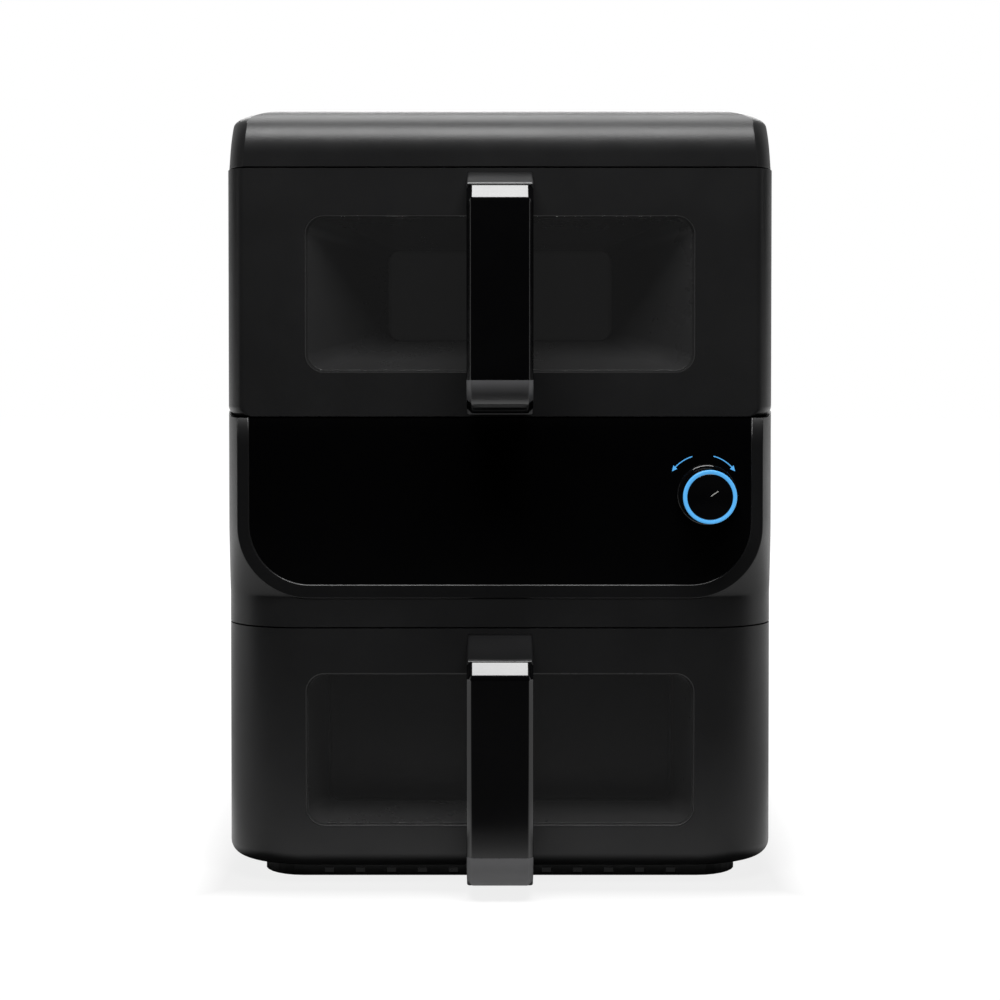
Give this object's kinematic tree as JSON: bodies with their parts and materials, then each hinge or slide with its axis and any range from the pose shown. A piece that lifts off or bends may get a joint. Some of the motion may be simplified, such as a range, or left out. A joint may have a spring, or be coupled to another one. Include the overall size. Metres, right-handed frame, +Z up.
{
  "type": "air fryer",
  "caption": "Stacked drawer air fryer: windowed drawers with strap handles slide out of a black housing, with a black glass control panel and a push-and-turn knob between them.",
  "frame": {"origin": "on the ground under the middle of the whole appliance, handles included", "axes": "-Y towards the user, +X to the right of the front, +Z up"},
  "size_m": [0.2916, 0.372, 0.4097],
  "materials": {
    "matte_shell": "fine-grained matte black",
    "inner_plastic": "smooth dark grey",
    "satin_trim": "satin black",
    "gloss_black": "high gloss black",
    "control_glass": "black printed glass, polished",
    "ring_light": "translucent light blue, lit",
    "window_glass": "smoked, polished",
    "rubber": "matte",
    "sheet_steel": "bare rolled sheet",
    "coated_metal": "non-stick coat, satin",
    "heater_steel": "heat-darkened",
    "bright_aluminium": "rolled",
    "shaft_steel": "turned",
    "circuit_board": "green solder mask",
    "white_plastic": "natural nylon"
  },
  "bodies": {
    "housing": {"top_cover": "matte_shell", "side_panel_left": "matte_shell", "side_panel_right": "matte_shell", "mid_housing": "matte_shell", "rear_cover": "matte_shell", "base_plinth": "matte_shell", "plinth_plate": "inner_plastic", "base_pan": "sheet_steel", "feet": "rubber", "mid_deck": "sheet_steel", "panel_bezel": "satin_trim", "panel_glass": "control_glass", "control_board": "circuit_board", "encoder_body": "bright_aluminium", "knob_collar": "gloss_black", "power_board": "circuit_board", "cord_gland": "rubber", "exhaust_ducts": "inner_plastic", "drawer_switches": "white_plastic", "housing_screws": "shaft_steel", "upper_liner": "sheet_steel", "lower_liner": "sheet_steel", "upper_runners": "white_plastic", "lower_runners": "white_plastic", "upper_heater": "heater_steel", "lower_heater": "heater_steel", "upper_motor": "bright_aluminium", "lower_motor": "bright_aluminium"},
    "upper_drawer": {"upper_front": "matte_shell", "upper_inner_cover": "inner_plastic", "upper_window": "window_glass", "upper_funnel": "inner_plastic", "upper_inner_pane": "window_glass", "upper_gasket": "rubber", "upper_basket": "coated_metal", "upper_handle_core": "satin_trim", "upper_handle_cover": "gloss_black", "upper_handle_screws": "shaft_steel"},
    "lower_drawer": {"lower_front": "matte_shell", "lower_inner_cover": "inner_plastic", "lower_window": "window_glass", "lower_tunnel": "inner_plastic", "lower_inner_pane": "window_glass", "lower_gasket": "rubber", "lower_basket": "coated_metal", "lower_handle_core": "satin_trim", "lower_handle_cover": "gloss_black", "lower_handle_screws": "shaft_steel"},
    "upper_plate": {"upper_crisper_plate": "coated_metal", "upper_plate_bumpers": "rubber"},
    "lower_plate": {"lower_crisper_plate": "coated_metal", "lower_plate_bumpers": "rubber"},
    "upper_rotor": {"upper_fan": "bright_aluminium", "upper_fan_shaft": "shaft_steel"},
    "lower_rotor": {"lower_fan": "bright_aluminium", "lower_fan_shaft": "shaft_steel"},
    "knob_plunger": {"encoder_plunger": "white_plastic"},
    "knob": {"knob_shaft": "shaft_steel", "knob_cap": "gloss_black", "knob_ring": "ring_light"}
  },
  "joints": [
    {"name": "upper_drawer_slide", "type": "slide", "parent": "housing", "child": "upper_drawer", "axis": [0, -1, 0], "range_m": [0, 0.2]},
    {"name": "lower_drawer_slide", "type": "slide", "parent": "housing", "child": "lower_drawer", "axis": [0, -1, 0], "range_m": [0, 0.2]},
    {"name": "upper_plate_lift", "type": "slide", "parent": "upper_drawer", "child": "upper_plate", "axis": [0, 0, 1], "range_m": [0, 0.09]},
    {"name": "lower_plate_lift", "type": "slide", "parent": "lower_drawer", "child": "lower_plate", "axis": [0, 0, 1], "range_m": [0, 0.09]},
    {"name": "upper_fan_spin", "type": "hinge", "parent": "housing", "child": "upper_rotor", "pos_m": [0, 0.00015, 0.37], "axis": [0, 0, 1], "continuous": true},
    {"name": "lower_fan_spin", "type": "hinge", "parent": "housing", "child": "lower_rotor", "pos_m": [0, 0.00015, 0.13], "axis": [0, 0, 1], "continuous": true},
    {"name": "knob_push", "type": "slide", "parent": "housing", "child": "knob_plunger", "axis": [0, 1, 0], "range_m": [0, 0.0012], "stiffness_N_per_m": 900},
    {"name": "knob_spin", "type": "hinge", "parent": "knob_plunger", "child": "knob", "pos_m": [0.1089, -0.144, 0.206], "axis": [0, 1, 0], "continuous": true}
  ]
}
